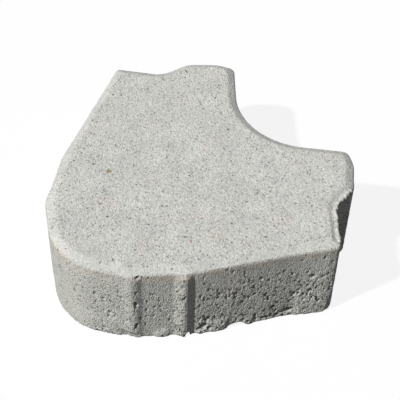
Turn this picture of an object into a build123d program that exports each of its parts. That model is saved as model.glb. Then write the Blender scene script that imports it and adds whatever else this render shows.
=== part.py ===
"""Interlocking concrete paving stone, cast in one piece.

The stone has a rounded nose, a matching bite between two horns at its rear, and two wavy shoulders.
Neighbours in a row nest nose to bite. Spacer ribs beside the nose keep the sand joint open.

Frame: millimetres, origin at the middle of the base, nose towards -Y, horns towards +Y, wearing face up.
"""

import os
from math import asin, atan2, cos, degrees, radians, tan

from build123d import *

# Overall sizes
stone_width = 200.0
stone_depth = 180.0
stone_height = 60.0

# Bevel round the wearing face
bevel_width = 5.0
bevel_drop = 2.5

# Nose and flanks, each as half a width and a distance behind the nose tip
nose_radius = 38.0
nose_half_width = 37.3
nose_length = 17.0
flank_half_width = 60.0
flank_end = 46.9

# Shoulders, wavy at their rear, each as half a width and a distance before the horn tips
shoulder_setback = 58.4
shoulder_radius = 3.5
waist_half_width = 77.3
waist_setback = 38.7
waist_radius = 16.0
cheek_half_width = 74.4
cheek_setback = 19.4
cheek_radius = 14.0
brow_half_width = 61.0
brow_setback = 4.2
brow_radius = 23.0
horn_tip_radius = 5.0

# Bite that takes the nose of the next stone
bite_half_mouth = 49.6
bite_depth = 27.9
bite_radius = 46.2

# Spacer ribs, one by the corner where the nose ends and one near the far end of the flank beside it.
# Each rises gently from the nose side to a sharp crest, which is then rounded, and falls more steeply
# beyond it. The roots are sunk in the stone.
rib_rise_slope = 22.5
rib_fall_slope = 30.0
rib_crest_radius = 7.2
rib_root = 2.0
nose_rib_stand_out = 2.05
nose_rib_inset = 2.7
flank_rib_stand_out = 2.85
flank_rib_inset = 4.7


def corner_around(before, centre, after, radius, side):
    """Return the sharp corner whose rounding is the given circle.

    The edges from the points before and after just touch the circle. A side of -1 keeps the circle on
    the left of the path from before to after, and 1 keeps it on the right.
    """
    edges = []
    for point, turn in ((before, side), (after, -side)):
        to_centre = centre - point
        swing = degrees(asin(radius / to_centre.length))
        edges.append(Axis(point, to_centre.rotate(Axis.Z, turn * swing)))
    return edges[0].intersect(edges[1])


def across(point):
    """Return the same point on the other half of the stone."""
    return Vector(-point.X, point.Y)


# The tips and corners that the outline turns at
nose_tip = -stone_depth / 2
horn_line = stone_depth / 2
nose_end = Vector(nose_half_width, nose_tip + nose_length)
flank_corner = Vector(flank_half_width, nose_tip + flank_end)
waist = Vector(waist_half_width, horn_line - waist_setback)
cheek = Vector(cheek_half_width, horn_line - cheek_setback)
brow = Vector(brow_half_width, horn_line - brow_setback)
mouth = Vector(bite_half_mouth, horn_line)

nose_centre = Vector(0, nose_tip + nose_radius)
nose_apex = corner_around(across(nose_end), nose_centre, nose_end, nose_radius, -1)

shoulder_centre = Vector(stone_width / 2 - shoulder_radius, horn_line - shoulder_setback)
shoulder = corner_around(flank_corner, shoulder_centre, waist, shoulder_radius, -1)

bite_centre = Vector(0, horn_line - bite_depth + bite_radius)
bite_apex = corner_around(mouth, bite_centre, across(mouth), bite_radius, 1)

# The horn tip touches the side of the bite, and its top is level with the horn line
bite_slope = atan2(mouth.Y - bite_apex.Y, mouth.X)
horn_centre_y = horn_line - horn_tip_radius
horn_centre_x = (horn_centre_y + horn_tip_radius / cos(bite_slope) - bite_apex.Y) / tan(bite_slope)
horn_centre = Vector(horn_centre_x, horn_centre_y)
horn_tip = corner_around(brow, horn_centre, bite_apex, horn_tip_radius, -1)

# The shoulders stay sharp here and are rounded after the bevel
half_outline = [nose_end, flank_corner, shoulder, waist, cheek, brow, horn_tip]
half_radii = [0, 0, 0, waist_radius, cheek_radius, brow_radius, horn_tip_radius]
other_half = [across(point) for point in reversed(half_outline)]
outline_corners = [nose_apex, *half_outline, bite_apex, *other_half]
outline_radii = [nose_radius, *half_radii, bite_radius, *reversed(half_radii)]

# Each rib's foot, the way its base runs and how far it stands out
nose_run = (nose_end - nose_apex).normalized()
flank_run = (flank_corner - nose_end).normalized()
ribs = [
    (nose_end + flank_run * nose_rib_inset, nose_run + flank_run, nose_rib_stand_out),
    (flank_corner - flank_run * flank_rib_inset, flank_run, flank_rib_stand_out),
]

with BuildPart() as paving_stone:
    with BuildSketch():
        with BuildLine():
            FilletPolyline(*outline_corners, radius=outline_radii, close=True)
        make_face()
    extrude(amount=stone_height)

    top_face = paving_stone.faces().sort_by(Axis.Z)[-1]
    chamfer(top_face.edges(), length=bevel_width, length2=bevel_drop, reference=top_face)

    upright_edges = paving_stone.edges().filter_by(Axis.Z).sort_by(Axis.X)
    fillet([upright_edges[0], upright_edges[-1]], radius=shoulder_radius)

    with BuildSketch():
        for foot, run, stand_out in ribs:
            rise_width = (stand_out + rib_root) / tan(radians(rib_rise_slope))
            fall_width = (stand_out + rib_root) / tan(radians(rib_fall_slope))
            with BuildSketch(mode=Mode.PRIVATE) as rib_profile:
                Polygon((-rise_width, rib_root), (0, -stand_out), (fall_width, rib_root), align=None)
                fillet(rib_profile.vertices().sort_by(Axis.Y)[0], radius=rib_crest_radius)
            with Locations(Location((foot.X, foot.Y), degrees(atan2(run.Y, run.X)))):
                add(rib_profile.sketch)
        mirror(about=Plane.YZ)
    extrude(amount=stone_height - bevel_drop)

paving_stone.part.label = "paving_stone"
os.makedirs("parts", exist_ok=True)
export_step(paving_stone.part, "parts/paving_stone.step")
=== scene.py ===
"""The looks of a concrete paving stone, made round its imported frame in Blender 4.5.

The stone is one casting. A copy of its frame node is chipped at its edges, fused with the burr and lumps
that its mould left, remeshed finely and roughened by a Geometry Nodes tree. Three finishes of one concrete
dress it: the fine wearing face, the sides that the mould walls shaped, and the bed that it lies on.

Lengths are millimetres in the classes and metres in the meshes. The axes are those of the frame: the nose
points towards -Y, the horns towards +Y, and the wearing face is up.
"""

import logging
import math
import random
from collections.abc import Iterator, Sequence
from contextlib import contextmanager
from dataclasses import asdict, dataclass, field
from enum import Enum
from typing import Any, ClassVar

import bmesh
import bpy
import numpy as np
from mathutils import Matrix, Vector, noise


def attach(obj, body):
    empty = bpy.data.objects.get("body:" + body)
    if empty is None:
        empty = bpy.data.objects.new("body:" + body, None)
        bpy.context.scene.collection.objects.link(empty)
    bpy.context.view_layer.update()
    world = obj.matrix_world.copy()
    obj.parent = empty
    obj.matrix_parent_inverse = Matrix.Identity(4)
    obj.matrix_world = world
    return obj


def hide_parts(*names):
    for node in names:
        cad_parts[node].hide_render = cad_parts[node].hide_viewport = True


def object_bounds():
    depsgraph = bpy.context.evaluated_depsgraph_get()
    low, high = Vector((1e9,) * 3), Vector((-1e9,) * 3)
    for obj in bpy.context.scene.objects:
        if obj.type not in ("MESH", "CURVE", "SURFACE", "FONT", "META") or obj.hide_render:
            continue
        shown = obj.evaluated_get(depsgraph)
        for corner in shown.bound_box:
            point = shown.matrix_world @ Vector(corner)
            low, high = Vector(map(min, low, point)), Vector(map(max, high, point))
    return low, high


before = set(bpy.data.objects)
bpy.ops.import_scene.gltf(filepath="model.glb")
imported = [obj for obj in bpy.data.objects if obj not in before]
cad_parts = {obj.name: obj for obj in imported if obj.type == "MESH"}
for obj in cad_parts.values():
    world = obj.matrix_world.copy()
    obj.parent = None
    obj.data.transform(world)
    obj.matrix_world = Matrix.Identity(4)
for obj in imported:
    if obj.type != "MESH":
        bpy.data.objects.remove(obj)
cad_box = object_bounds()

MM = 0.001

log = logging.getLogger("paving_stone")

Feed = Any  # what an input socket takes: another node's output socket, or a plain value


class Region(Enum):
    """The three skins of the casting, in the order of its material slots."""

    WEARING_FACE = 0
    SIDE = 1
    BED = 2


def smoothstep(low: float, high: float, value: np.ndarray) -> np.ndarray:
    """Rise smoothly from 0 at the low value to 1 at the high one, and stay level past them."""
    share = np.clip((value - low) / (high - low), 0.0, 1.0)
    return share * share * (3.0 - 2.0 * share)


def read_points(mesh: bpy.types.Mesh) -> np.ndarray:
    """Read a mesh's vertices.

    Args:
        mesh: Mesh to read.

    Returns:
        Its points as rows of x, y and z in millimetres.
    """
    flat = np.empty(len(mesh.vertices) * 3, np.float32)
    mesh.vertices.foreach_get("co", flat)
    return flat.reshape(-1, 3).astype(float) / MM


def write_points(mesh: bpy.types.Mesh, points: np.ndarray) -> None:
    """Move a mesh's vertices to rows of x, y and z in millimetres."""
    mesh.vertices.foreach_set("co", (points * MM).astype(np.float32).ravel())
    mesh.update()


@contextmanager
def reshaping(mesh: bpy.types.Mesh) -> Iterator[bmesh.types.BMesh]:
    """Open a mesh for editing, and write it back at the end.

    Args:
        mesh: Mesh to change.

    Yields:
        The mesh in its form for editing.
    """
    work = bmesh.new()
    work.from_mesh(mesh)
    yield work
    work.to_mesh(mesh)
    work.free()


def new_object(name: str, data: bpy.types.ID) -> bpy.types.Object:
    """Make an object for a mesh, a camera or a lamp, and link it to the scene.

    Args:
        name: Name of the object.
        data: What it holds.

    Returns:
        The object, at the origin.
    """
    made = bpy.data.objects.new(name, data)
    bpy.context.scene.collection.objects.link(made)
    return made


def settle(obj: bpy.types.Object) -> None:
    """Turn an object's modifiers into plain mesh.

    Args:
        obj: Mesh object whose modifiers are evaluated once and then removed.
    """
    bpy.context.view_layer.update()
    evaluated = obj.evaluated_get(bpy.context.evaluated_depsgraph_get())
    made = bpy.data.meshes.new_from_object(evaluated)
    made.name = obj.name
    before = obj.data
    obj.modifiers.clear()
    obj.data = made
    bpy.data.meshes.remove(before)


def run_modifier(obj: bpy.types.Object, kind: str, **settings: Any) -> None:
    """Run one modifier on an object and keep what it makes as plain mesh.

    Args:
        obj: Mesh object.
        kind: Type of the modifier.
        **settings: Its properties.
    """
    modifier = obj.modifiers.new(kind.lower(), kind)
    for name, value in settings.items():
        setattr(modifier, name, value)
    settle(obj)
    obj.vertex_groups.clear()


def mark_group(obj: bpy.types.Object, name: str, chosen: np.ndarray) -> str:
    """Put some of an object's vertices in a vertex group.

    Args:
        obj: Mesh object.
        name: Name of the group.
        chosen: Whether each vertex is in it.

    Returns:
        The name that the group got.
    """
    group = obj.vertex_groups.new(name=name)
    group.add(np.nonzero(chosen)[0].tolist(), 1.0, "REPLACE")
    return group.name


class NodeSheet:
    """A node tree with short calls to add nodes and wire them."""

    def __init__(self, tree: bpy.types.NodeTree) -> None:
        """Start on a tree that may already hold nodes."""
        self.tree = tree

    @classmethod
    def blank(cls, owner: bpy.types.Material | bpy.types.World) -> "NodeSheet":
        """Empty the node tree of a material or a world, and return it as a sheet."""
        owner.use_nodes = True
        owner.node_tree.nodes.clear()
        return cls(owner.node_tree)

    def take(self, name: str, kind: str, value: Feed = None) -> None:
        """Give the tree one more named input.

        Args:
            name: Name of the input.
            kind: Socket type, such as NodeSocketFloat.
            value: Default value, where the type has one.
        """
        socket = self.tree.interface.new_socket(name, in_out="INPUT", socket_type=kind)
        if value is not None:
            socket.default_value = value

    def give(self, name: str, kind: str) -> None:
        """Give the tree one more named output."""
        self.tree.interface.new_socket(name, in_out="OUTPUT", socket_type=kind)

    def feed(self, socket: bpy.types.NodeSocket, value: Feed) -> None:
        """Wire a socket to another, or set its own value.

        Args:
            socket: Input socket.
            value: Output socket or plain value.
        """
        if isinstance(value, bpy.types.NodeSocket):
            self.tree.links.new(value, socket)
        else:
            socket.default_value = value

    def add(self, kind: str, feeds: dict[Any, Feed] | None = None, **settings: Any) -> bpy.types.Node:
        """Add a node.

        Args:
            kind: Node type.
            feeds: What its inputs take, by name or by number.
            **settings: Node properties, set before the inputs.

        Returns:
            The node.
        """
        made = self.tree.nodes.new(kind)
        for name, value in settings.items():
            setattr(made, name, value)
        for key, value in (feeds or {}).items():
            self.feed(made.inputs[key], value)
        return made

    def math(self, operation: str, *values: Feed, clamp: bool = False) -> bpy.types.NodeSocket:
        """Add a Math node for the values, clamped to 0 to 1 if so asked, and return its result."""
        feeds = dict(enumerate(values))
        return self.add("ShaderNodeMath", feeds, operation=operation, use_clamp=clamp).outputs[0]

    def multiply(self, first: Feed, *others: Feed) -> bpy.types.NodeSocket:
        """Multiply two or more values, in order.

        Args:
            first: First value.
            *others: The other values.

        Returns:
            The result socket.
        """
        for value in others:
            first = self.math("MULTIPLY", first, value)
        return first

    def vector(self, operation: str, *values: Feed) -> bpy.types.NodeSocket:
        """Add a Vector Math node.

        Args:
            operation: Its operation, such as ADD. SCALE takes the vector and then the factor.
            *values: Its operands in order.

        Returns:
            The result socket: the vector, or the number for LENGTH and DISTANCE.
        """
        places = (0, 3) if operation == "SCALE" else (0, 1, 2)
        made = self.add("ShaderNodeVectorMath", dict(zip(places, values)), operation=operation)
        return made.outputs[1 if operation in ("LENGTH", "DISTANCE") else 0]

    def parts(self, vector: Feed) -> bpy.types.bpy_prop_collection:
        """Split a vector or a colour in its three numbers."""
        return self.add("ShaderNodeSeparateXYZ", {0: vector}).outputs

    def mark(self, name: str) -> bpy.types.NodeSocket:
        """Read a number that each point of the geometry carries under a name."""
        return self.add("GeometryNodeInputNamedAttribute", {"Name": name}, data_type="FLOAT").outputs[0]

    def group(self, tree: bpy.types.NodeTree, feeds: dict[Any, Feed]) -> bpy.types.bpy_prop_collection:
        """Place a shared shader node group and return its outputs."""
        return self.add("ShaderNodeGroup", feeds, node_tree=tree).outputs

    def ramp(
        self, value: Feed, low: Feed, high: Feed, start: Feed = 0.0, end: Feed = 1.0
    ) -> bpy.types.NodeSocket:
        """Add a Map Range node with soft ends.

        Args:
            value: Value to look up.
            low: Value that gives start.
            high: Value that gives end.
            start: Result at and before low.
            end: Result at and past high.

        Returns:
            The result socket.
        """
        feeds = {0: value, 1: low, 2: high, 3: start, 4: end}
        return self.add("ShaderNodeMapRange", feeds, interpolation_type="SMOOTHSTEP").outputs[0]

    def _scale(self, size: Feed) -> Feed:
        """Return the texture scale that gives lumps of a size, which may be a number or a socket."""
        return self.math("DIVIDE", 1.0, size) if isinstance(size, bpy.types.NodeSocket) else 1.0 / size

    def noise(self, place: Feed, size: Feed, detail: float = 2.0, rough: float = 0.5) -> bpy.types.Node:
        """Add a Noise Texture node with lumps of a size in metres, a value first and a colour second."""
        feeds = {"Vector": place, "Scale": self._scale(size), "Detail": detail, "Roughness": rough}
        return self.add("ShaderNodeTexNoise", feeds)

    def cells(self, place: Feed, size: Feed) -> bpy.types.Node:
        """Add a Voronoi Texture node whose cells lie a size in metres apart."""
        return self.add("ShaderNodeTexVoronoi", {"Vector": place, "Scale": self._scale(size)})

    def tint(self, share: Feed, first: Feed, second: Feed) -> bpy.types.NodeSocket:
        """Mix two colours by the share of the second one."""
        feeds = {0: share, 6: first, 7: second}
        return self.add("ShaderNodeMix", feeds, data_type="RGBA").outputs[2]


def irregular_cells(
    sheet: NodeSheet, place: Feed, spacing: Feed, share: Feed, radius: Feed
) -> bpy.types.NodeSocket:
    """Add nodes for scattered holes with uneven rims, each in its own cell.

    Args:
        sheet: Tree to add them to, for shading or for geometry.
        place: Coordinates in metres.
        spacing: Distance between neighbouring cells in metres.
        share: Share of the cells that hold a hole.
        radius: Largest radius of a hole, in cell sizes.

    Returns:
        A value that is 0 outside the holes and up to 1 at the middle of each.
    """
    warp = sheet.noise(place, sheet.multiply(spacing, 0.45), detail=1.0).outputs[1]
    warp = sheet.vector("SUBTRACT", warp, (0.5, 0.5, 0.5))
    shift = sheet.vector("SCALE", warp, sheet.multiply(spacing, 0.7))
    cell = sheet.cells(sheet.vector("ADD", place, shift), spacing)
    chance = sheet.parts(cell.outputs["Color"])
    present = sheet.math("LESS_THAN", chance[0], share)
    reach = sheet.multiply(radius, sheet.ramp(chance[1], 0.0, 1.0, 0.5, 1.0))
    hollow = sheet.ramp(cell.outputs["Distance"], reach, sheet.multiply(reach, 0.5))
    depth = sheet.ramp(chance[2], 0.0, 1.0, 0.45, 1.0)
    return sheet.multiply(hollow, depth, present)


class ConcreteEffects:
    """Shader node groups that all the finishes of the concrete share."""

    def __init__(self) -> None:
        """Build each group once."""
        self.mottling = self._mottling()
        self.sand_grain = self._sand_grain()
        self.pores = self._pores()
        self.coarse_patches = self._coarse_patches()

    @staticmethod
    def _start(
        name: str, takes: dict[str, float], gives: tuple[str, ...]
    ) -> tuple[NodeSheet, bpy.types.bpy_prop_collection, bpy.types.bpy_prop_collection]:
        """Start a shader node group that takes coordinates and some numbers.

        Args:
            name: Name of the group.
            takes: Its numbers with their values.
            gives: Names of the numbers that it gives.

        Returns:
            Its sheet, the sockets that it takes and those that it gives.
        """
        sheet = NodeSheet(bpy.data.node_groups.new(name, "ShaderNodeTree"))
        sheet.take("Vector", "NodeSocketVector")
        for number, value in takes.items():
            sheet.take(number, "NodeSocketFloat", value)
        for number in gives:
            sheet.give(number, "NodeSocketFloat")
        return sheet, sheet.add("NodeGroupInput").outputs, sheet.add("NodeGroupOutput").inputs

    def _mottling(self) -> bpy.types.NodeTree:
        """Build the group for cloudy patches of shade and warmth."""
        sheet, taken, given = self._start("mottling", {"Patch Size": 0.02}, ("Shade", "Warmth"))
        place, size = taken["Vector"], taken["Patch Size"]
        shade = sheet.noise(place, size, detail=4.0, rough=0.6)
        elsewhere = sheet.vector("ADD", place, (0.31, 0.17, 0.23))
        warmth = sheet.noise(elsewhere, sheet.multiply(size, 1.3), detail=3.0, rough=0.6)
        sheet.feed(given["Shade"], sheet.math("SUBTRACT", shade.outputs[0], 0.5))
        sheet.feed(given["Warmth"], sheet.ramp(warmth.outputs[0], 0.52, 0.72))
        return sheet.tree

    def _sand_grain(self) -> bpy.types.NodeTree:
        """Build the group for packed grains of sand."""
        takes = {"Grain Size": 0.001, "Depth": 0.0001}
        sheet, taken, given = self._start("sand_grain", takes, ("Height", "Tint"))
        place, size = taken["Vector"], taken["Grain Size"]
        grain = sheet.cells(place, size)
        fine = sheet.noise(place, size, detail=2.0, rough=0.6)
        dome = sheet.math("SUBTRACT", 1.0, grain.outputs["Distance"])
        rough = sheet.multiply(fine.outputs[0], 0.9)
        relief = sheet.math("ADD", sheet.multiply(dome, 0.55), rough)
        tone = sheet.parts(grain.outputs["Color"])[0]
        sheet.feed(given["Height"], sheet.multiply(relief, taken["Depth"]))
        sheet.feed(given["Tint"], sheet.math("SUBTRACT", tone, 0.5))
        return sheet.tree

    def _pores(self) -> bpy.types.NodeTree:
        """Build the group for open pores between the grains."""
        takes = {"Spacing": 0.003, "Share": 0.5, "Radius": 0.3, "Depth": 0.0003}
        sheet, taken, given = self._start("pores", takes, ("Mask", "Height"))
        mask = irregular_cells(sheet, *(taken[name] for name in ("Vector", "Spacing", "Share", "Radius")))
        sheet.feed(given["Mask"], mask)
        sheet.feed(given["Height"], sheet.multiply(mask, taken["Depth"], -1.0))
        return sheet.tree

    def _coarse_patches(self) -> bpy.types.NodeTree:
        """Build the group for how coarse the skin is, as its relief left it and in small patches."""
        sheet, taken, given = self._start("coarse_patches", {"Patch Size": 0.009}, ("Coarseness",))
        kept = sheet.add("ShaderNodeAttribute", attribute_name="coarse").outputs["Fac"]
        cloud = sheet.noise(taken["Vector"], taken["Patch Size"], detail=2.0).outputs[0]
        patch = sheet.ramp(cloud, 0.35, 0.6, 0.7, 1.0)
        sheet.feed(given["Coarseness"], sheet.multiply(kept, patch))
        return sheet.tree


@dataclass(frozen=True)
class PoreLayer:
    """One layer of pores: spacing and depth in millimetres, radius in cell sizes, painted shade as a share.
    """

    spacing: float
    share: float
    radius: float
    depth: float
    # Painted shade: how far the pores' colour is darkened, standing in for the shade inside them.
    darkness: float


@dataclass(frozen=True)
class ConcreteFinish:
    """One finish of the concrete, from its colour down to its grain. Lengths are millimetres."""

    name: str
    colour: tuple[float, float, float, float]
    warm_colour: tuple[float, float, float, float]
    warm_share: float
    patch_size: float
    patch_contrast: float
    grain_size: float
    grain_depth: float
    grain_contrast: float
    pore_layers: tuple[PoreLayer, ...]
    # Painted shade: how far the colour is darkened in the pits and the chips' insides.
    pit_darkness: float
    upright_stretch: float = 1.0
    smooth_share: float = 0.35
    # Painted shade of the pores where the skin is smooth, as a share of the full one, and the coarseness
    # that gets all of it.
    smooth_darkness: float = 0.6
    full_painted_shade_from: float = 0.6
    rough_patch_size: float = 9.0
    roughness: float = 0.92
    specular: float = 0.25

    def material(self, effects: ConcreteEffects) -> bpy.types.Material:
        """Build the finish as a material.

        Args:
            effects: The shared node groups.

        Returns:
            The material.
        """
        made = bpy.data.materials.new(self.name)
        sheet = NodeSheet.blank(made)
        position = sheet.add("ShaderNodeTexCoord").outputs["Object"]
        place = sheet.vector("MULTIPLY", position, (1.0, 1.0, 1.0 / self.upright_stretch))
        mottling = sheet.group(effects.mottling, {"Vector": place, "Patch Size": self.patch_size * MM})
        grain_feeds = {"Vector": place, "Grain Size": self.grain_size * MM, "Depth": self.grain_depth * MM}
        grain = sheet.group(effects.sand_grain, grain_feeds)
        patch_feeds = {"Vector": position, "Patch Size": self.rough_patch_size * MM}
        coarse = sheet.group(effects.coarse_patches, patch_feeds)["Coarseness"]
        height = sheet.multiply(grain["Height"], sheet.ramp(coarse, 0.0, 1.0, self.smooth_share, 1.0))
        shade = sheet.math("MULTIPLY_ADD", mottling["Shade"], self.patch_contrast, 1.0)
        contrast = sheet.ramp(coarse, 0.0, 1.0, self.smooth_share * self.grain_contrast, self.grain_contrast)
        shade = sheet.multiply(shade, sheet.math("MULTIPLY_ADD", grain["Tint"], contrast, 1.0))
        for layer in self.pore_layers:
            pores = sheet.group(effects.pores, self._pore_feeds(sheet, place, layer, coarse))
            height = sheet.math("ADD", height, pores["Height"])
            # Painted shade: the pores' colour is darkened, less where the skin is smooth, standing in for
            # the shade inside them.
            faint_painted_shade = -self.smooth_darkness * layer.darkness
            darkness = sheet.ramp(coarse, 0.0, self.full_painted_shade_from, faint_painted_shade, -layer.darkness)
            shade = sheet.multiply(shade, sheet.math("MULTIPLY_ADD", pores["Mask"], darkness, 1.0))
        # Painted shade: the colour is darkened in the pits and the chips' insides, where shade falls.
        pit = sheet.add("ShaderNodeAttribute", attribute_name="pit").outputs["Fac"]
        shade = sheet.multiply(shade, sheet.math("MULTIPLY_ADD", pit, -self.pit_darkness, 1.0))
        warmth = sheet.multiply(mottling["Warmth"], self.warm_share)
        colour = sheet.tint(warmth, self.colour, self.warm_colour)
        colour = sheet.vector("SCALE", self._stained(sheet, position, colour), shade)
        bump = sheet.add("ShaderNodeBump", {"Strength": 1.0, "Distance": 1.0, "Height": height})
        feeds = {
            "Base Color": colour,
            "Roughness": self.roughness,
            "Specular IOR Level": self.specular,
            "Normal": bump.outputs[0],
        }
        skin = sheet.add("ShaderNodeBsdfPrincipled", feeds)
        sheet.add("ShaderNodeOutputMaterial", {"Surface": skin.outputs[0]})
        return made

    def _pore_feeds(self, sheet: NodeSheet, place: Feed, layer: PoreLayer, coarse: Feed) -> dict[Any, Feed]:
        """Say what a layer of pores takes: more and deeper pores where the skin is coarse.

        Args:
            sheet: The material's tree.
            place: Object coordinates.
            layer: The layer.
            coarse: Coarseness from 0 to 1.

        Returns:
            Its inputs.
        """
        rise = sheet.ramp(coarse, 0.0, 1.0, self.smooth_share, 1.0)
        return {
            "Vector": place,
            "Spacing": layer.spacing * MM,
            "Share": sheet.multiply(rise, layer.share),
            "Radius": layer.radius,
            "Depth": sheet.multiply(rise, layer.depth * MM),
        }

    def _stained(self, sheet: NodeSheet, place: Feed, colour: Feed) -> Feed:
        """Return the colour with this finish's own stains, of which plain concrete has none."""
        return colour


@dataclass(frozen=True)
class ColouredGrain:
    """A grain of coloured sand in the wearing face, in millimetres from the frame's origin."""

    x: float
    y: float
    radius: float
    colour: tuple[float, float, float, float]


@dataclass(frozen=True)
class WearingFinish(ConcreteFinish):
    """The fine facing mix of the wearing face, with a few coloured grains."""

    coloured_grains: tuple[ColouredGrain, ...] = ()
    rim_wobble_size: float = 1.4

    def _stained(self, sheet: NodeSheet, place: Feed, colour: Feed) -> Feed:
        """Colour the grains one after the other.

        Args:
            sheet: The material's tree.
            place: Object coordinates.
            colour: Colour of the concrete.

        Returns:
            The colour with the grains in it.
        """
        wobble = sheet.noise(place, self.rim_wobble_size * MM, detail=1.0).outputs[0]
        for grain in self.coloured_grains:
            centre = (grain.x * MM, grain.y * MM, cad_box[1].z)
            away = sheet.vector("DISTANCE", place, centre)
            reach = sheet.multiply(wobble, 2.0 * grain.radius * MM)
            mask = sheet.ramp(away, reach, sheet.multiply(reach, 0.5))
            colour = sheet.tint(mask, colour, grain.colour)
        return colour


@dataclass(frozen=True)
class SideFinish(ConcreteFinish):
    """The sides: a warm band below the wearing face, a pale right shoulder, a darker nose, and painted shade
    on the rear.
    """

    band_colour: tuple[float, float, float, float] = (0.76, 0.7, 0.6, 1.0)
    band_low: float = 48.0
    band_high: float = 54.0
    band_share: float = 0.8
    band_patch_size: float = 14.0
    pale_from: float = 86.0
    pale_to: float = 94.0
    pale_gain: float = 1.12
    left_from: float = -10.0
    left_to: float = 22.0
    left_gain: float = 0.9
    # Painted shade: the sides are darkened past the first y, towards the horns.
    rear_painted_shade_from: float = 33.0
    rear_painted_shade_to: float = 40.0
    rear_painted_shade_gain: float = 0.84

    def _stained(self, sheet: NodeSheet, place: Feed, colour: Feed) -> Feed:
        """Warm the band just below the wearing face, unevenly, lighten the shoulder, darken the nose, and
        paint shade on the rear.

        Args:
            sheet: The material's tree.
            place: Object coordinates.
            colour: Colour of the concrete.

        Returns:
            The colour with the band, the lighter shoulder, the darker nose and the painted shade on the
            rear.
        """
        across, ahead, height = sheet.parts(place)
        band = sheet.ramp(height, self.band_low * MM, self.band_high * MM)
        cloud = sheet.noise(place, self.band_patch_size * MM, detail=3.0).outputs[0]
        patchy = sheet.ramp(cloud, 0.3, 0.65)
        share = sheet.multiply(band, patchy, self.band_share)
        banded = sheet.tint(share, colour, self.band_colour)
        pale = sheet.ramp(across, self.pale_from * MM, self.pale_to * MM, 1.0, self.pale_gain)
        # Painted shade on the rear, towards the horns.
        rear_painted_shade = sheet.ramp(ahead, self.rear_painted_shade_from * MM, self.rear_painted_shade_to * MM, 1.0, self.rear_painted_shade_gain)
        left = sheet.ramp(across, self.left_from * MM, self.left_to * MM, self.left_gain, 1.0)
        return sheet.vector("SCALE", banded, sheet.multiply(pale, rear_painted_shade, left))


@dataclass(frozen=True)
class Wall:
    """An upright flat side, from one corner to the next in plan."""

    start: tuple[float, float]
    end: tuple[float, float]

    @property
    def along(self) -> Vector:
        """Return the level direction from the start to the end."""
        return Vector((self.end[0] - self.start[0], self.end[1] - self.start[1], 0.0)).normalized()

    @property
    def out(self) -> Vector:
        """Return the direction that the wall faces, to the right of its run."""
        run = self.along
        return Vector((run.y, -run.x, 0.0))

    @property
    def length(self) -> float:
        """Return its length in millimetres."""
        return math.dist(self.start, self.end)

    def axes(self) -> Matrix:
        """Return the turn that takes X along the wall, Y into it and Z up."""
        return Matrix((self.along, -self.out, Vector((0.0, 0.0, 1.0)))).transposed()

    def point(self, distance: float, height: float, proud: float = 0.0) -> Vector:
        """Return the place at a distance along the wall, a height and millimetres out of it."""
        start = Vector((self.start[0], self.start[1], height))
        return start + self.along * distance + self.out * proud


@dataclass(frozen=True)
class Chip:
    """A chip out of a wall: its place along and up, its three sizes, how proud it is, and its shape."""

    distance: float
    height: float
    length: float
    depth: float
    rise: float
    proud: float = 0.0
    seed: int = 1


@dataclass(frozen=True)
class Dent:
    """A shallow swelling or hollow of a side, for what is too broad to be a chip.

    It has its middle in plan, the way it faces in degrees, half its even length, how far it fades beyond
    that, how far out it goes, and the height where it has faded out, if it is not as high as the stone.
    """

    x: float
    y: float
    facing: float
    half_length: float
    reach: float
    amount: float
    height: float = math.inf
    root: float = 12.0

    def shift(self, points: np.ndarray) -> np.ndarray:
        """Say how far it moves each point.

        Args:
            points: Rows of x, y and z in millimetres.

        Returns:
            Rows to add to them.
        """
        turn = math.radians(self.facing)
        out = np.array((math.cos(turn), math.sin(turn), 0.0))
        beside = np.array((-out[1], out[0], 0.0))
        from_middle = points - (self.x, self.y, 0.0)
        past_end = np.maximum(np.abs(from_middle @ beside) - self.half_length, 0.0) / self.reach
        share = smoothstep(1.0, 0.0, np.hypot(past_end, from_middle @ out / self.root))
        if math.isfinite(self.height):
            share *= smoothstep(self.height, self.height * 0.3, points[:, 2])
        return np.outer(share * self.amount, out)


@dataclass(frozen=True)
class Wave:
    """How far a wall swings out of its plane.

    It has the wall, pairs of distance along it and distance out of it, and how deep the wave reaches.
    """

    wall: Wall
    knots: tuple[tuple[float, float], ...]
    root: float = 12.0

    def shift(self, points: np.ndarray) -> np.ndarray:
        """Say how far the wave moves each point.

        Args:
            points: Rows of x, y and z in millimetres.

        Returns:
            Rows to add to them.
        """
        from_start = points - (*self.wall.start, 0.0)
        out = np.array(self.wall.out)
        distances, amounts = zip(*self.knots)
        amount = np.interp(from_start @ np.array(self.wall.along), distances, amounts)
        share = smoothstep(self.root, 0.0, np.abs(from_start @ out))
        return np.outer(share * amount, out)


@dataclass(frozen=True)
class CalmZone:
    """A part of the sides that came smooth from the mould: its middle in plan, its reach and its share."""

    x: float
    y: float
    reach: float
    share: float

    def strength(self, points: np.ndarray) -> np.ndarray:
        """Return how calm each of the points is, from 0 to 1."""
        away = np.hypot(points[:, 0] - self.x, points[:, 1] - self.y)
        return self.share * smoothstep(self.reach, self.reach * 0.6, away)


@dataclass(frozen=True)
class RibWear:
    """Wear of the ribs on a flank towards their tops: the flank, two heights in millimetres and a share."""

    flank: Wall
    low: float
    high: float
    share: float
    past_ends: float = 6.0
    most_proud: float = 3.0

    def shift(self, points: np.ndarray) -> np.ndarray:
        """Say how far the wear moves each point.

        Args:
            points: Rows of x, y and z in millimetres.

        Returns:
            Rows to add to them.
        """
        start = np.array((*self.flank.start, 0.0))
        proud = (points - start) @ np.array(self.flank.out)
        run = (points - start) @ np.array(self.flank.along)
        beside = (run > -self.past_ends) & (run < self.flank.length + self.past_ends)
        on_rib = beside & (proud > 0.0) & (proud < self.most_proud)
        worn = self.share * smoothstep(self.low, self.high, points[:, 2]) * on_rib
        return np.outer(-proud * worn, np.array(self.flank.out))


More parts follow.
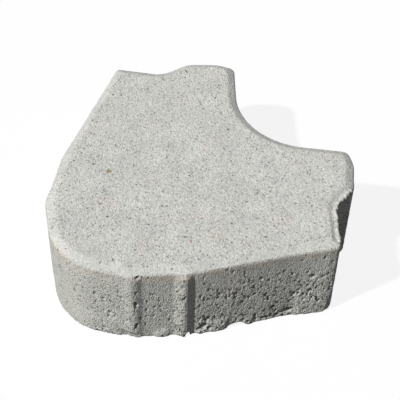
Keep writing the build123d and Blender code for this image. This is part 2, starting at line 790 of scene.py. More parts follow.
@dataclass
class Pebbles:
    """A pot of irregular closed pebbles that are joined in one mesh."""

    unevenness: float = 0.32
    subdivisions: int = 3
    mesh: bmesh.types.BMesh = field(default_factory=bmesh.new)

    def add(self, centre: Vector, sizes: tuple[float, float, float], turn: Matrix, seed: int) -> None:
        """Add one pebble.

        Args:
            centre: Its middle in millimetres.
            sizes: Its three diameters in millimetres, before it is turned.
            turn: How it is turned.
            seed: Picks its shape.
        """
        made = bmesh.ops.create_icosphere(self.mesh, subdivisions=self.subdivisions, radius=0.5)
        start = Vector((seed * 3.7, seed * 1.3, seed * 5.1))
        for vert in made["verts"]:
            bulge = 1.0 + self.unevenness * noise.noise(vert.co * 4.0 + start)
            local = Vector(part * size for part, size in zip(vert.co * bulge, sizes))
            vert.co = (centre + turn @ local) * MM

    def add_prism(self, plan: Sequence[Sequence[float]], low: float, high: float) -> None:
        """Add an upright prism.

        Args:
            plan: Its corners in plan, in order and in millimetres.
            low: Height of its foot in millimetres.
            high: Height of its top in millimetres.
        """
        foot, top = ([self.mesh.verts.new(Vector((x, y, z)) * MM) for x, y in plan] for z in (low, high))
        made = [self.mesh.faces.new(foot), self.mesh.faces.new(reversed(top))]
        for number in range(len(plan)):
            following = (number + 1) % len(plan)
            made.append(self.mesh.faces.new((foot[following], foot[number], top[number], top[following])))
        bmesh.ops.recalc_face_normals(self.mesh, faces=made)

    def done(self, name: str) -> bpy.types.Object:
        """Return the pebbles as one object.

        Args:
            name: Its name.

        Returns:
            The object.
        """
        made = bpy.data.meshes.new(name)
        self.mesh.to_mesh(made)
        self.mesh.free()
        return new_object(name, made)


@dataclass(frozen=True)
class RaggedEdge:
    """Small chips scattered along the lower edge, whose points are put in order round a middle on the axis.

    Lengths are millimetres, each as its smallest and its largest.
    """

    count: int = 48
    length: tuple[float, float] = (2.5, 6.5)
    depth: tuple[float, float] = (1.0, 2.0)
    rise: tuple[float, float] = (0.8, 2.0)
    height: tuple[float, float] = (-0.4, 0.6)
    middle_y: float = -20.0
    seed: int = 11
    first_shape: int = 100

    def add(self, pot: Pebbles, edge: np.ndarray) -> None:
        """Add the pebbles that cut the chips.

        Args:
            pot: Takes the pebbles.
            edge: Points of the lower edge in plan, in no order.
        """
        draw = random.Random(self.seed)
        corners = edge[np.argsort(np.arctan2(edge[:, 1] - self.middle_y, edge[:, 0]))]
        following = np.roll(corners, -1, axis=0)
        lengths = np.hypot(*(following - corners).T)
        ends = np.cumsum(lengths)
        for number in range(self.count):
            target = draw.uniform(0.0, ends[-1])
            side = int(np.searchsorted(ends, target))
            wall = Wall(tuple(corners[side]), tuple(following[side]))
            distance = target - (ends[side] - lengths[side])
            sizes = tuple(draw.uniform(*span) for span in (self.length, self.depth, self.rise))
            centre = wall.point(distance, draw.uniform(*self.height))
            pot.add(centre, sizes, wall.axes(), self.first_shape + number)


@dataclass(frozen=True)
class Groove:
    """The cut that makes the flank rib's far side sharp. Lengths are millimetres."""

    past_end: float = 0.45
    run: float = 4.6
    rise: float = 2.85
    depth: float = 0.85
    overshoot: float = 1.0

    def add(self, pot: Pebbles, flank: Wall, top: float) -> None:
        """Add the prism that cuts it.

        Args:
            pot: Takes the prism.
            flank: The wall that carries the rib.
            top: Height of the stone.
        """
        end = flank.length + self.past_end
        start = end - self.run
        plan = ((end, -self.depth), (end, self.rise), (start, self.rise), (start, self.rise - self.depth))
        corners = [flank.point(run, 0.0, out).to_2d() for run, out in plan]
        pot.add_prism(corners, -self.overshoot, top + self.overshoot)


@dataclass(frozen=True)
class Burr:
    """The ragged burr on the upper edge behind the right shoulder, of small pebbles torn into teeth.

    Its stretch lies beyond an x and from one y to another. Lengths are millimetres, and a pair is the
    smallest and the largest, apart from the fades, which go from nothing to full strength.
    """

    beyond_x: float = 60.0
    from_y: float = 31.0
    to_y: float = 69.0
    foot: float = 50.0
    step: float = 0.6
    size: tuple[float, float] = (1.6, 2.2)
    shape: tuple[float, float, float] = (1.0, 0.8, 1.2)
    rise: tuple[float, float] = (0.1, 1.3)
    inset: tuple[float, float] = (0.5, 1.1)
    stray: tuple[float, float] = (-0.4, 0.4)
    first_shape: int = 300
    tooth_step: float = 0.9
    tooth_reach: tuple[float, float] = (-0.8, 0.8)
    side_fade: tuple[float, float] = (3.2, 0.6)
    height_fade: tuple[float, float] = (2.6, 0.6)
    seed: int = 5

    def holds(self, points: np.ndarray) -> np.ndarray:
        """Return whether each point lies in the burr's stretch."""
        x, y = points[:, 0], points[:, 1]
        return (x > self.beyond_x) & (y > self.from_y) & (y < self.to_y)

    def line(self, edge: np.ndarray) -> np.ndarray:
        """Return the burr's stretch of an edge's points in plan, in order from the shoulder on."""
        stretch = edge[self.holds(edge)]
        return stretch[np.argsort(stretch[:, 1])]

    def add(self, pot: Pebbles, edge: np.ndarray, level: float) -> None:
        """String the pebbles along the edge.

        Args:
            pot: Takes the pebbles.
            edge: Points of the upper edge in plan, in no order.
            level: Height of the edge.
        """
        draw = random.Random(self.seed)
        line = self.line(edge)
        travelled = np.concatenate(([0.0], np.cumsum(np.hypot(*np.diff(line, axis=0).T))))
        for distance in np.arange(0.0, travelled[-1], self.step):
            x, y = (float(np.interp(distance, travelled, line[:, axis])) for axis in (0, 1))
            size = draw.uniform(*self.size)
            x -= draw.uniform(*self.inset)
            y += draw.uniform(*self.stray)
            centre = Vector((x, y, level + draw.uniform(*self.rise)))
            turn = Matrix.Rotation(draw.uniform(0.0, math.tau), 3, "Z")
            sizes = tuple(size * share for share in self.shape)
            pot.add(centre, sizes, turn, self.first_shape + int(distance / self.step))

    def tear(self, points: np.ndarray, edge: np.ndarray, level: float) -> None:
        """Draw the burr's rim in and out, one tooth after the other.

        Args:
            points: Rows of x, y and z, which it moves.
            edge: Points of the upper edge in plan, in no order.
            level: Height of the edge.
        """
        draw = random.Random(self.seed)
        line = self.line(edge)
        stations = np.arange(line[0, 1], line[-1, 1], self.tooth_step)
        teeth = [draw.uniform(*self.tooth_reach) for _ in stations]
        x, y, z = points.T
        share = smoothstep(*self.side_fade, np.abs(x - np.interp(y, line[:, 1], line[:, 0])))
        share *= smoothstep(*self.height_fade, np.abs(z - level))
        share *= (y > stations[0]) & (y < stations[-1])
        points[:, 0] += share * np.interp(y, stations, teeth)


@dataclass
class Relief:
    """The Geometry Nodes tree that roughens the skin. Lengths are millimetres."""

    plain_numbers: ClassVar[tuple[str, ...]] = ("pit_share", "small_pit_share", "upright_stretch", "seed")

    swell_length: float = 22.0
    swell_depth: float = 0.45
    grain_length: float = 1.6
    grain_depth: float = 1.0
    pit_spacing: float = 4.6
    pit_depth: float = 1.4
    pit_share: float = 0.1
    small_pit_spacing: float = 2.3
    small_pit_depth: float = 1.2
    small_pit_share: float = 0.75
    smooth_height: float = 56.0
    coarse_height: float = 28.0
    upright_stretch: float = 1.8
    patch_length: float = 26.0
    seed: int = 4

    def inputs(self) -> dict[str, float]:
        """Return the tree's named inputs with their values, each length in metres."""
        return {
            name.replace("_", " ").title(): value if name in self.plain_numbers else value * MM
            for name, value in asdict(self).items()
        }

    def tree(self, materials: dict[Region, bpy.types.Material]) -> bpy.types.NodeTree:
        """Build the tree.

        Args:
            materials: The material of each region; not used.

        Returns:
            The tree.
        """
        made = bpy.data.node_groups.new("stone_relief", "GeometryNodeTree")
        sheet = NodeSheet(made)
        sheet.take("Geometry", "NodeSocketGeometry")
        for name, value in self.inputs().items():
            sheet.take(name, "NodeSocketInt" if isinstance(value, int) else "NodeSocketFloat", value)
        for region in Region:
            sheet.take(region.name, "NodeSocketMaterial")
        sheet.give("Geometry", "NodeSocketGeometry")
        taken = sheet.add("NodeGroupInput").outputs
        given = sheet.add("NodeGroupOutput")

        position = sheet.add("GeometryNodeInputPosition").outputs[0]
        normal = sheet.add("GeometryNodeInputNormal").outputs[0]
        spread = sheet.vector("ADD", position, sheet.vector("SCALE", (0.19, 0.37, 0.53), taken["Seed"]))
        flatten = sheet.math("DIVIDE", 1.0, taken["Upright Stretch"])
        squeeze = sheet.add("ShaderNodeCombineXYZ", {0: 1.0, 1: 1.0, 2: flatten}).outputs[0]
        place = sheet.vector("MULTIPLY", spread, squeeze)
        height = sheet.parts(position)[2]
        facing = sheet.parts(normal)[2]
        sidewards = sheet.ramp(sheet.math("ABSOLUTE", facing), 0.75, 0.35)
        downwards = sheet.math("LESS_THAN", facing, -0.6)
        coarse = sheet.multiply(self._coarseness(sheet, taken, spread, height), sidewards)

        pits = self._pits(sheet, taken, "Pit", place, coarse, radius=0.44)
        elsewhere = sheet.vector("ADD", place, (0.05, 0.08, 0.02))
        small = self._pits(sheet, taken, "Small Pit", elsewhere, coarse, radius=0.46)
        # The chips' insides join the pits in the mask that the finishes darken as painted shade.
        chip_painted_shade_mask = sheet.mark("chip_painted_shade_mask")
        hollow = sheet.math("MAXIMUM", sheet.math("MAXIMUM", pits[0], small[0]), chip_painted_shade_mask)
        depth = sheet.math("MAXIMUM", pits[1], small[1])

        swell = self._centred_noise(sheet, place, taken["Swell Length"], detail=2.0)
        swell = sheet.multiply(swell, taken["Swell Depth"], sidewards)
        grain = self._centred_noise(sheet, place, taken["Grain Length"], detail=3.0)
        grain_depth = sheet.multiply(sheet.ramp(coarse, 0.0, 1.0, 0.3, 1.0), taken["Grain Depth"])
        grain = sheet.multiply(grain, grain_depth, sidewards)
        total = sheet.math("ADD", sheet.math("ADD", swell, grain), depth)
        flat_coarse = sheet.ramp(sheet.math("ABSOLUTE", facing), 0.91, 0.97, 0.6, 1.0)
        all_coarse = sheet.add("ShaderNodeMix", {0: sidewards, 2: flat_coarse, 3: coarse}).outputs[0]

        kept = taken["Geometry"]
        # The pit mark is the mask of painted shade that the finishes darken.
        for name, value in (("pit", hollow), ("coarse", all_coarse)):
            feeds = {"Geometry": kept, "Name": name, "Value": value}
            stored = sheet.add("GeometryNodeStoreNamedAttribute", feeds, data_type="FLOAT", domain="POINT")
            kept = stored.outputs[0]
        offset = sheet.vector("SCALE", normal, sheet.multiply(total, -1.0))
        moved = sheet.add("GeometryNodeSetPosition", {"Geometry": kept, "Offset": offset})
        smooth = sheet.add("GeometryNodeSetShadeSmooth", {"Geometry": moved.outputs[0]})
        made_real = sheet.add("GeometryNodeRealizeInstances", {"Geometry": smooth.outputs[0]}).outputs[0]
        chosen = {
            Region.SIDE: None,
            Region.WEARING_FACE: sheet.math("GREATER_THAN", facing, 0.6),
            Region.BED: downwards,
        }
        for region, selection in chosen.items():
            feeds = {"Geometry": made_real, "Material": taken[region.name]}
            if selection is not None:
                feeds["Selection"] = selection
            made_real = sheet.add("GeometryNodeSetMaterial", feeds).outputs[0]
        sheet.feed(given.inputs["Geometry"], made_real)
        return made

    @staticmethod
    def _coarseness(sheet: NodeSheet, taken: Any, spread: Feed, height: Feed) -> bpy.types.NodeSocket:
        """Add nodes for how coarse a side is: more so lower down, in patches, and less in the calm zones.

        Args:
            sheet: The tree.
            taken: The tree's inputs.
            spread: Coordinates in metres for the patches.
            height: Height of the point in metres.

        Returns:
            The coarseness, from 0 to 1.
        """
        low = sheet.ramp(height, taken["Smooth Height"], taken["Coarse Height"], 0.1, 1.0)
        cloud = sheet.noise(spread, taken["Patch Length"], detail=2.0).outputs[0]
        patch = sheet.ramp(cloud, 0.36, 0.58, 0.6, 1.0)
        calm = sheet.mark("calm")
        return sheet.multiply(low, patch, sheet.math("SUBTRACT", 1.0, calm))

    def _pits(
        self, sheet: NodeSheet, taken: Any, kind: str, place: Feed, coarse: Feed, radius: float
    ) -> tuple[bpy.types.NodeSocket, bpy.types.NodeSocket]:
        """Add nodes for one size of pits.

        Args:
            sheet: The tree.
            taken: The tree's inputs.
            kind: How the inputs of these pits start.
            place: Coordinates in metres.
            coarse: Share of the full number of pits, from 0 to 1.
            radius: Largest radius in cell sizes.

        Returns:
            How far into a pit each point is, from 0 to 1, and its depth in metres.
        """
        share = sheet.multiply(coarse, taken[kind + " Share"])
        hollow = irregular_cells(sheet, place, taken[kind + " Spacing"], share, radius)
        return hollow, sheet.multiply(hollow, taken[kind + " Depth"])

    @staticmethod
    def _centred_noise(sheet: NodeSheet, place: Feed, size: Feed, detail: float) -> bpy.types.NodeSocket:
        """Add noise of a size in metres that goes as far below 0 as above it."""
        return sheet.math("SUBTRACT", sheet.noise(place, size, detail=detail, rough=0.62).outputs[0], 0.5)

    def apply(self, piece: bpy.types.Object, materials: dict[Region, bpy.types.Material]) -> None:
        """Roughen a piece for good.

        Args:
            piece: Mesh object with a fine, even mesh.
            materials: The material of each region.
        """
        tree = self.tree(materials)
        modifier = piece.modifiers.new("relief", "NODES")
        modifier.node_group = tree
        values = self.inputs() | {region.name: materials[region] for region in Region}
        for item in tree.interface.items_tree:
            if item.in_out == "INPUT" and item.name in values:
                modifier[item.identifier] = values[item.name]
        settle(piece)


@dataclass
class StoneCasting:
    """The stone: a damaged, burred and roughened copy of its frame node. Lengths are millimetres."""

    node: str = "paving_stone"
    merge_distance: float = 0.001
    bevel_drop: float = 2.5
    level_tolerance: float = 0.02
    voxel: float = 0.77
    right_wall: Wall = Wall((60.0, -43.1), (98.8, 28.5))
    right_flank: Wall = Wall((37.3, -73.0), (60.0, -43.1))
    chips: tuple[Chip, ...] = (
        Chip(6.0, 7.6, 4.6, 6.0, 4.4, seed=2),
        Chip(9.4, 5.0, 3.6, 5.0, 3.6, seed=3),
        Chip(3.6, 4.6, 3.6, 5.0, 4.0, seed=4),
        Chip(57.3, 6.0, 5.8, 6.4, 4.2, seed=5),
        Chip(53.6, 4.6, 2.6, 3.5, 2.2, seed=6),
        Chip(50.7, 2.8, 3.8, 3.6, 2.4, seed=7),
        Chip(33.4, 3.0, 3.0, 3.0, 2.0, seed=8),
        Chip(37.6, 3.7, 4.0, 3.0, 2.0, seed=9),
        Chip(43.5, 3.0, 6.0, 3.0, 2.2, seed=10),
        Chip(26.5, 0.4, 10.5, 9.0, 5.6, seed=11),
        Chip(-3.4, 1.2, 3.0, 8.0, 4.5, proud=0.8, seed=22),
        Chip(70.4, 35.7, 2.8, 4.0, 3.2, seed=12),
        Chip(70.0, 22.7, 2.2, 3.4, 3.0, seed=13),
        Chip(78.7, 16.4, 2.3, 3.4, 3.6, seed=14),
        Chip(79.9, 43.3, 2.2, 3.4, 2.8, seed=15),
        Chip(15.0, 34.5, 2.0, 3.2, 3.2, seed=16),
        Chip(13.9, 31.1, 2.0, 3.2, 2.6, seed=17),
        Chip(29.2, 22.9, 2.2, 3.4, 3.2, seed=18),
        Chip(36.1, 27.6, 2.1, 3.2, 2.6, seed=19),
        Chip(43.8, 38.5, 2.0, 3.0, 2.6, seed=20),
        Chip(60.2, 21.6, 2.4, 3.6, 3.4, seed=21),
    )
    cheek_wall: Wall = Wall((76.6, 54.0), (74.2, 74.0))
    cheek_chips: tuple[Chip, ...] = (
        Chip(5.0, 0.0, 13.0, 6.4, 6.0, seed=34),
        Chip(13.0, 0.0, 12.0, 6.0, 5.6, seed=35),
    )
    wave: Wave = Wave(
        right_wall,
        ((0.0, 0.0), (25.0, 0.0), (55.0, -0.4), (62.0, -0.3), (79.0, 0.45), (83.0, 0.2), (86.0, 0.0)),
    )
    dents: tuple[Dent, ...] = (
        Dent(100.0, 35.5, 0.0, 1.0, 4.5, -0.5),
        Dent(93.5, 38.4, 51.5, 5.0, 5.0, -0.9, root=8.0),
        Dent(94.5, 20.5, -28.5, 8.0, 5.0, 0.9, height=26.0),
        Dent(86.4, 5.5, -28.5, 4.0, 9.0, -0.4, height=20.0),
        Dent(76.5, 64.0, -6.0, 6.0, 12.0, 0.8),
        Dent(65.5, -33.0, -28.5, 6.0, 5.0, 1.3, height=14.0),
        Dent(76.0, -13.6, -28.5, 1.0, 3.5, 0.7, height=8.0),
        Dent(49.0, -57.8, -37.2, 1.5, 4.5, 1.2, height=9.0),
        Dent(37.4, -73.4, -47.0, 1.5, 5.5, -1.5, height=7.0),
        Dent(20.0, -84.6, -62.0, 8.0, 10.0, 0.5, height=24.0),
        Dent(-16.0, -87.0, -110.0, 4.0, 12.0, -0.4, height=22.0),
    )
    calm_zones: tuple[CalmZone, ...] = (
        CalmZone(-16.0, -88.0, 46.0, 0.95),
        CalmZone(38.0, -71.0, 34.0, 0.6),
        CalmZone(58.8, -45.0, 4.2, 1.0),
    )
    groove: Groove = Groove()
    ragged_edge: RaggedEdge = RaggedEdge()
    burr: Burr = Burr()
    shoulder_tip: tuple[tuple[float, float], ...] = (
        (96.7, 24.6), (99.9, 30.5), (99.9, 32.3), (99.0, 34.8), (94.0, 32.0),
    )
    shoulder_foot: float = 3.5
    shoulder_top_inset: float = 0.1
    corner_radius: float = 3.8
    corner_facets: tuple[float, ...] = (18.0, 36.0, 54.0, 72.0)
    left_wear: RibWear = RibWear(Wall((-60.0, -43.1), (-37.3, -73.0)), 51.0, 56.0, 1.0)
    right_wear: RibWear = RibWear(right_flank, 53.5, 57.5, 0.6)
    lump_unevenness: float = 0.2
    # Rim and front of the chips' insides, which the finishes darken as painted shade.
    cavity_rim: tuple[float, float] = (1.4, 1.1)
    cavity_front: float = 0.25
    smoothing_rounds: int = 3
    smoothing_strength: float = 0.5
    flat_margin: float = 0.6
    kept_rings: int = 3
    triangle_goal: int = 190_000
    thinning_weight: float = 10.0
    box_margin: float = 0.01
    relief: Relief = field(default_factory=Relief)

    @property
    def top(self) -> float:
        """Return the height of the wearing face."""
        return cad_box[1].z / MM

    @property
    def arris_height(self) -> float:
        """Return the height where the sides meet the bevel."""
        return self.top - self.bevel_drop

    def build(self, materials: dict[Region, bpy.types.Material]) -> bpy.types.Object:
        """Build the stone.

        Args:
            materials: The material of each region.

        Returns:
            The stone, as one closed mesh.
        """
        stone = self._copy_of_node()
        self._round_corner(stone)
        self._cut_chips(stone)
        self._fuse_lumps(stone)
        self._remesh(stone)
        self._smooth(stone)
        self._thin_flats(stone)
        self._mark(stone)
        self._press(stone)
        self.relief.apply(stone, materials)
        self._keep_in_box(stone)
        return stone

    def _copy_of_node(self) -> bpy.types.Object:
        """Copy the frame node and merge the copy's loose triangles.

        Returns:
            The copy, closed.
        """
        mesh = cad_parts[self.node].data.copy()
        mesh.name = "stone_body"
        mesh.materials.clear()
        with reshaping(mesh) as work:
            bmesh.ops.remove_doubles(work, verts=work.verts, dist=self.merge_distance * MM)
        return new_object("stone_body", mesh)

    def _outline_at(self, height: float) -> np.ndarray:
        """Find the solid's outline at a height where its mesh has vertices.

        Args:
            height: Millimetres above the bed.

        Returns:
            Its points in plan, in millimetres, in no order.
        """
        points = read_points(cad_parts[self.node].data)
        level = points[np.abs(points[:, 2] - height) < self.level_tolerance]
        return np.unique(level[:, :2].round(3), axis=0)

    def _round_corner(self, stone: bpy.types.Object) -> None:
        """Knock the lower corner of the right shoulder round, one facet after the other.

        Args:
            stone: The closed copy of the node.
        """
        outline = self._outline_at(0.0)
        tip = outline[outline[:, 0].argmax()]
        away = (self.right_wall.out + self.right_wall.along).normalized()
        centre = Vector((tip[0], tip[1], self.corner_radius)) - away * self.corner_radius
        with reshaping(stone.data) as work:
            for angle in self.corner_facets:
                tilt = math.radians(angle)
                facing = away * math.cos(tilt) - Vector((0, 0, math.sin(tilt)))
                cut = bmesh.ops.bisect_plane(
                    work,
                    geom=[*work.verts, *work.edges, *work.faces],
                    plane_co=(centre + facing * self.corner_radius) * MM,
                    plane_no=facing,
                    clear_outer=True,
                )
                rim = [part for part in cut["geom_cut"] if isinstance(part, bmesh.types.BMEdge)]
                bmesh.ops.edgeloop_fill(work, edges=rim)

    def _cut_chips(self, stone: bpy.types.Object) -> None:
        """Cut the chips, the ragged lower edge and the groove beside the flank rib.

        Args:
            stone: The closed copy of the node.
        """
        pot = Pebbles()
        for wall, chips in ((self.right_wall, self.chips), (self.cheek_wall, self.cheek_chips)):
            for chip in chips:
                centre = wall.point(chip.distance, chip.height, chip.proud)
                pot.add(centre, (chip.length, chip.depth, chip.rise), wall.axes(), chip.seed)
        self.ragged_edge.add(pot, self._outline_at(0.0))
        self.groove.add(pot, self.right_flank, self.top)
        cutter = pot.done("chips")
        run_modifier(stone, "BOOLEAN", operation="DIFFERENCE", solver="EXACT", use_self=True, object=cutter)
        bpy.data.objects.remove(cutter)

    def _fuse_lumps(self, stone: bpy.types.Object) -> None:
        """Add the burr and the sharp tip of the right shoulder, which the remesh then fuses with the stone.

        Args:
            stone: The closed copy of the node.
        """
        pot = Pebbles(unevenness=self.lump_unevenness)
        self.burr.add(pot, self._outline_at(self.arris_height), self.arris_height)
        pot.add_prism(self.shoulder_tip, self.shoulder_foot, self.arris_height - self.shoulder_top_inset)
        lumps = pot.done("lumps")
        with reshaping(stone.data) as work:
            work.from_mesh(lumps.data)
        bpy.data.objects.remove(lumps)

    def _remesh(self, stone: bpy.types.Object) -> None:
        """Rebuild the stone and its overlapping lumps as one fine, even mesh."""
        run_modifier(stone, "REMESH", mode="VOXEL", voxel_size=self.voxel * MM, use_smooth_shade=True)

    def _smooth(self, stone: bpy.types.Object) -> None:
        """Even out the steps that the remesh leaves, apart from the burr.

        Args:
            stone: The remeshed stone.
        """
        points = read_points(stone.data)
        burr = self.burr.holds(points) & (points[:, 2] > self.burr.foot)
        stepped = mark_group(stone, "stepped", ~burr)
        strength, rounds = self.smoothing_strength, self.smoothing_rounds
        run_modifier(stone, "SMOOTH", factor=strength, iterations=rounds, vertex_group=stepped)

    def _thin_flats(self, stone: bpy.types.Object) -> None:
        """Thin the mesh inside the bed and the wearing face, a few edges in from their outlines.

        Args:
            stone: The smoothed stone.
        """
        points = read_points(stone.data)
        flat = (points[:, 2] < self.flat_margin) | (points[:, 2] > self.top - self.flat_margin)
        ends = np.empty(len(stone.data.edges) * 2, np.int32)
        stone.data.edges.foreach_get("vertices", ends)
        first, second = ends.reshape(-1, 2).T
        for _ in range(self.kept_rings):
            mixed = flat[first] != flat[second]
            flat[first[mixed]] = False
            flat[second[mixed]] = False
        stone.data.calc_loop_triangles()
        run_modifier(
            stone,
            "DECIMATE",
            ratio=min(1.0, self.triangle_goal / len(stone.data.loop_triangles)),
            vertex_group=mark_group(stone, "flats", flat),
            vertex_group_factor=self.thinning_weight,
        )

    def _mark(self, stone: bpy.types.Object) -> None:
        """Mark the calm zones and the insides of the right wall's chips, as painted shade, for the relief
        and the finishes.

        Args:
            stone: The thinned stone.
        """
        points = read_points(stone.data)
        calm = np.max([zone.strength(points) for zone in self.calm_zones], axis=0)
        # Painted shade: the mask of the chips' insides, which the finishes darken.
        chip_painted_shade_mask = np.zeros(len(points))
        turn = np.array(self.right_wall.axes())
        for chip in self.chips:
            centre = np.array(self.right_wall.point(chip.distance, chip.height, chip.proud))
            local = (points - centre) @ turn / (np.array((chip.length, chip.depth, chip.rise)) / 2.0)
            inside = smoothstep(*self.cavity_rim, np.linalg.norm(local, axis=1))
            chip_painted_shade_mask = np.maximum(chip_painted_shade_mask, inside * (local[:, 1] > self.cavity_front))
        for name, values in (("calm", calm), ("chip_painted_shade_mask", chip_painted_shade_mask)):
            marks = stone.data.attributes.new(name, "FLOAT", "POINT")
            marks.data.foreach_set("value", values.astype(np.float32))

    def _press(self, stone: bpy.types.Object) -> None:
        """Wear the tops of the ribs, swing the right wall, press the dents and tear the burr.

        Args:
            stone: The thinned stone.
        """
        points = read_points(stone.data)
        for form in (self.left_wear, self.right_wear, self.wave, *self.dents):
            points += form.shift(points)
        self.burr.tear(points, self._outline_at(self.arris_height), self.arris_height)
        write_points(stone.data, points)

    def _keep_in_box(self, stone: bpy.types.Object) -> None:
        """Hold the skin inside the frame's box.

        Args:
            stone: The roughened stone.
        """
        low, high = (np.array(corner) / MM for corner in cad_box)
        held = np.clip(read_points(stone.data), low + self.box_margin, high - self.box_margin)
        write_points(stone.data, held)


@dataclass
class Studio:
    """The plain studio: camera, one soft lamp, sky and floor. Lengths are millimetres and angles degrees."""

    eye: tuple[float, float, float] = (332.35, -300.04, 526.96)
    azimuth: float = 46.471
    elevation: float = 47.557
    roll: float = 1.941
    lens: float = 97.74
    sensor: float = 36.0
    lamp_azimuth: float = -103.6
    lamp_elevation: float = 47.6
    lamp_strength: float = 3.38
    lamp_angle: float = 2.5
    sky: tuple[float, float, float, float] = (0.145, 0.152, 0.161, 1.0)
    floor_size: float = 6000.0
    floor_bounce: float = 0.02
    floor_white: float = 0.88
    floor_shade: float = 0.12

    def build(self) -> None:
        """Set up the whole studio."""
        self._camera()
        self._lamp()
        self._world()
        self._floor()
        bpy.context.scene.view_settings.view_transform = "Standard"

    def _camera(self) -> None:
        """Place the camera at the photograph's viewpoint."""
        data = bpy.data.cameras.new("camera")
        data.lens = self.lens
        data.sensor_width = self.sensor
        data.clip_start = 0.01
        camera = new_object("camera", data)
        turn = math.radians(self.azimuth)
        tilt = math.radians(self.elevation)
        roll = math.radians(self.roll)
        ahead = Vector((-math.sin(turn) * math.cos(tilt), math.cos(turn) * math.cos(tilt), -math.sin(tilt)))
        level = Vector((math.cos(turn), math.sin(turn), 0.0))
        upright = level.cross(ahead)
        right = level * math.cos(roll) + upright * math.sin(roll)
        top = upright * math.cos(roll) - level * math.sin(roll)
        camera.matrix_world = Matrix.LocRotScale(
            Vector(self.eye) * MM, Matrix((right, top, -ahead)).transposed(), None
        )
        bpy.context.scene.camera = camera

    def _lamp(self) -> None:
        """Hang the lamp, far off and a little soft."""
        data = bpy.data.lights.new("lamp", "SUN")
        data.energy = self.lamp_strength
        data.angle = math.radians(self.lamp_angle)
        lamp = new_object("lamp", data)
        turn, tilt = math.radians(self.lamp_azimuth), math.radians(self.lamp_elevation)
        towards = Vector((math.cos(turn) * math.cos(tilt), math.sin(turn) * math.cos(tilt), math.sin(tilt)))
        lamp.rotation_euler = (-towards).to_track_quat("-Z", "Y").to_euler()

    @staticmethod
    def _seen_directly(sheet: NodeSheet) -> bpy.types.NodeSocket:
        """Add nodes that tell rays from the camera, and from gloss and glass, from the light's own.

        Args:
            sheet: Tree of a material or the world.

        Returns:
            1 for such rays and 0 for the rest.
        """
        path = sheet.add("ShaderNodeLightPath").outputs
        mirrored = sheet.math("MAXIMUM", path["Is Glossy Ray"], path["Is Transmission Ray"])
        return sheet.math("MAXIMUM", path["Is Camera Ray"], mirrored)

    def _world(self) -> None:
        """Make the sky: a dim even light that the camera sees as white."""
        world = bpy.data.worlds.new("studio")
        bpy.context.scene.world = world
        sheet = NodeSheet.blank(world)
        dim = sheet.add("ShaderNodeBackground", {"Color": self.sky, "Strength": 1.0})
        white = sheet.add("ShaderNodeBackground", {"Color": (1.0, 1.0, 1.0, 1.0), "Strength": 1.0})
        feeds = {0: self._seen_directly(sheet), 1: dim.outputs[0], 2: white.outputs[0]}
        mixed = sheet.add("ShaderNodeMixShader", feeds)
        sheet.add("ShaderNodeOutputWorld", {"Surface": mixed.outputs[0]})

    def _floor(self) -> None:
        """Lay the floor: white to the camera apart from the stone's shadow, and dull to the light."""
        mesh = bpy.data.meshes.new("floor")
        half = self.floor_size / 2 * MM
        corners = [(-half, -half, 0.0), (half, -half, 0.0), (half, half, 0.0), (-half, half, 0.0)]
        mesh.from_pydata(corners, [], [(0, 1, 2, 3)])
        floor = new_object("floor", mesh)
        material = bpy.data.materials.new("floor_paper")
        sheet = NodeSheet.blank(material)
        glow = sheet.add("ShaderNodeEmission", {"Color": (1.0, 1.0, 1.0, 1.0), "Strength": self.floor_white})
        shade = sheet.add("ShaderNodeBsdfDiffuse", {"Color": (*(self.floor_shade,) * 3, 1.0)})
        white = sheet.add("ShaderNodeAddShader", {0: glow.outputs[0], 1: shade.outputs[0]})
        dull = sheet.add("ShaderNodeBsdfDiffuse", {"Color": (*(self.floor_bounce,) * 3, 1.0)})
        feeds = {0: self._seen_directly(sheet), 1: dull.outputs[0], 2: white.outputs[0]}
        mixed = sheet.add("ShaderNodeMixShader", feeds)
        sheet.add("ShaderNodeOutputMaterial", {"Surface": mixed.outputs[0]})
        mesh.materials.append(material)


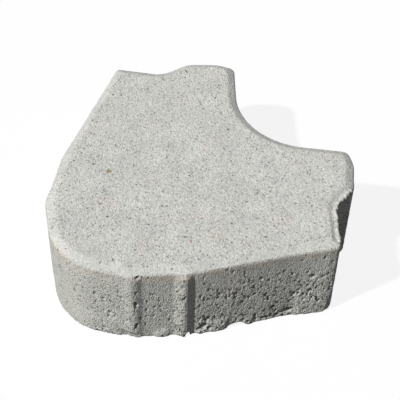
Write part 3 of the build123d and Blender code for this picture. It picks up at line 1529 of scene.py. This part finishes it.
WEARING_FACE = WearingFinish(
    name="wearing_face_concrete",
    colour=(0.633, 0.633, 0.59, 1.0),
    warm_colour=(0.65, 0.611, 0.568, 1.0),
    warm_share=0.85,
    patch_size=14.0,
    patch_contrast=0.4,
    grain_size=0.9,
    grain_depth=0.4,
    grain_contrast=0.4,
    pore_layers=(
        PoreLayer(spacing=1.6, share=0.55, radius=0.38, depth=0.5, darkness=0.55),
        PoreLayer(spacing=3.4, share=0.32, radius=0.24, depth=0.6, darkness=0.7),
    ),
    pit_darkness=0.2,
    coloured_grains=(
        ColouredGrain(-30.1, -31.2, 1.9, (0.36, 0.27, 0.13, 1.0)),
        ColouredGrain(11.8, -25.7, 1.0, (0.36, 0.29, 0.22, 1.0)),
        ColouredGrain(13.8, -23.6, 1.1, (0.3, 0.26, 0.2, 1.0)),
        ColouredGrain(42.6, -30.7, 1.4, (0.55, 0.36, 0.28, 1.0)),
        ColouredGrain(48.6, -19.4, 1.2, (0.55, 0.38, 0.3, 1.0)),
    ),
)

SIDE = SideFinish(
    name="mould_side_concrete",
    colour=(0.727, 0.723, 0.664, 1.0),
    warm_colour=(0.737, 0.686, 0.618, 1.0),
    warm_share=0.7,
    patch_size=9.0,
    patch_contrast=0.2,
    grain_size=0.75,
    grain_depth=0.85,
    grain_contrast=0.55,
    pore_layers=(
        PoreLayer(spacing=1.2, share=0.75, radius=0.42, depth=0.8, darkness=0.65),
        PoreLayer(spacing=2.0, share=0.6, radius=0.42, depth=1.5, darkness=0.86),
    ),
    smooth_share=0.5,
    pit_darkness=0.55,
    upright_stretch=1.8,
)

BED = ConcreteFinish(
    name="bed_concrete",
    colour=(0.58, 0.585, 0.54, 1.0),
    warm_colour=(0.56, 0.54, 0.49, 1.0),
    warm_share=0.6,
    patch_size=24.0,
    patch_contrast=0.24,
    grain_size=1.4,
    grain_depth=0.4,
    grain_contrast=0.2,
    pore_layers=(
        PoreLayer(spacing=2.4, share=0.7, radius=0.4, depth=0.8, darkness=0.5),
        PoreLayer(spacing=6.0, share=0.45, radius=0.32, depth=1.4, darkness=0.55),
    ),
    pit_darkness=0.3,
)


def main() -> None:
    """Build the studio and the stone, and report each piece."""
    logging.basicConfig(level=logging.INFO, format="%(name)s: %(message)s")
    Studio().build()
    log.info("studio is set up")
    effects = ConcreteEffects()
    finishes = {Region.WEARING_FACE: WEARING_FACE, Region.SIDE: SIDE, Region.BED: BED}
    materials = {region: finish.material(effects) for region, finish in finishes.items()}
    casting = StoneCasting()
    stone = casting.build(materials)
    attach(stone, "root")
    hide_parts(casting.node)
    stone.data.calc_loop_triangles()
    log.info("%s has %d triangles", stone.name, len(stone.data.loop_triangles))


if __name__ == "__main__":
    main()
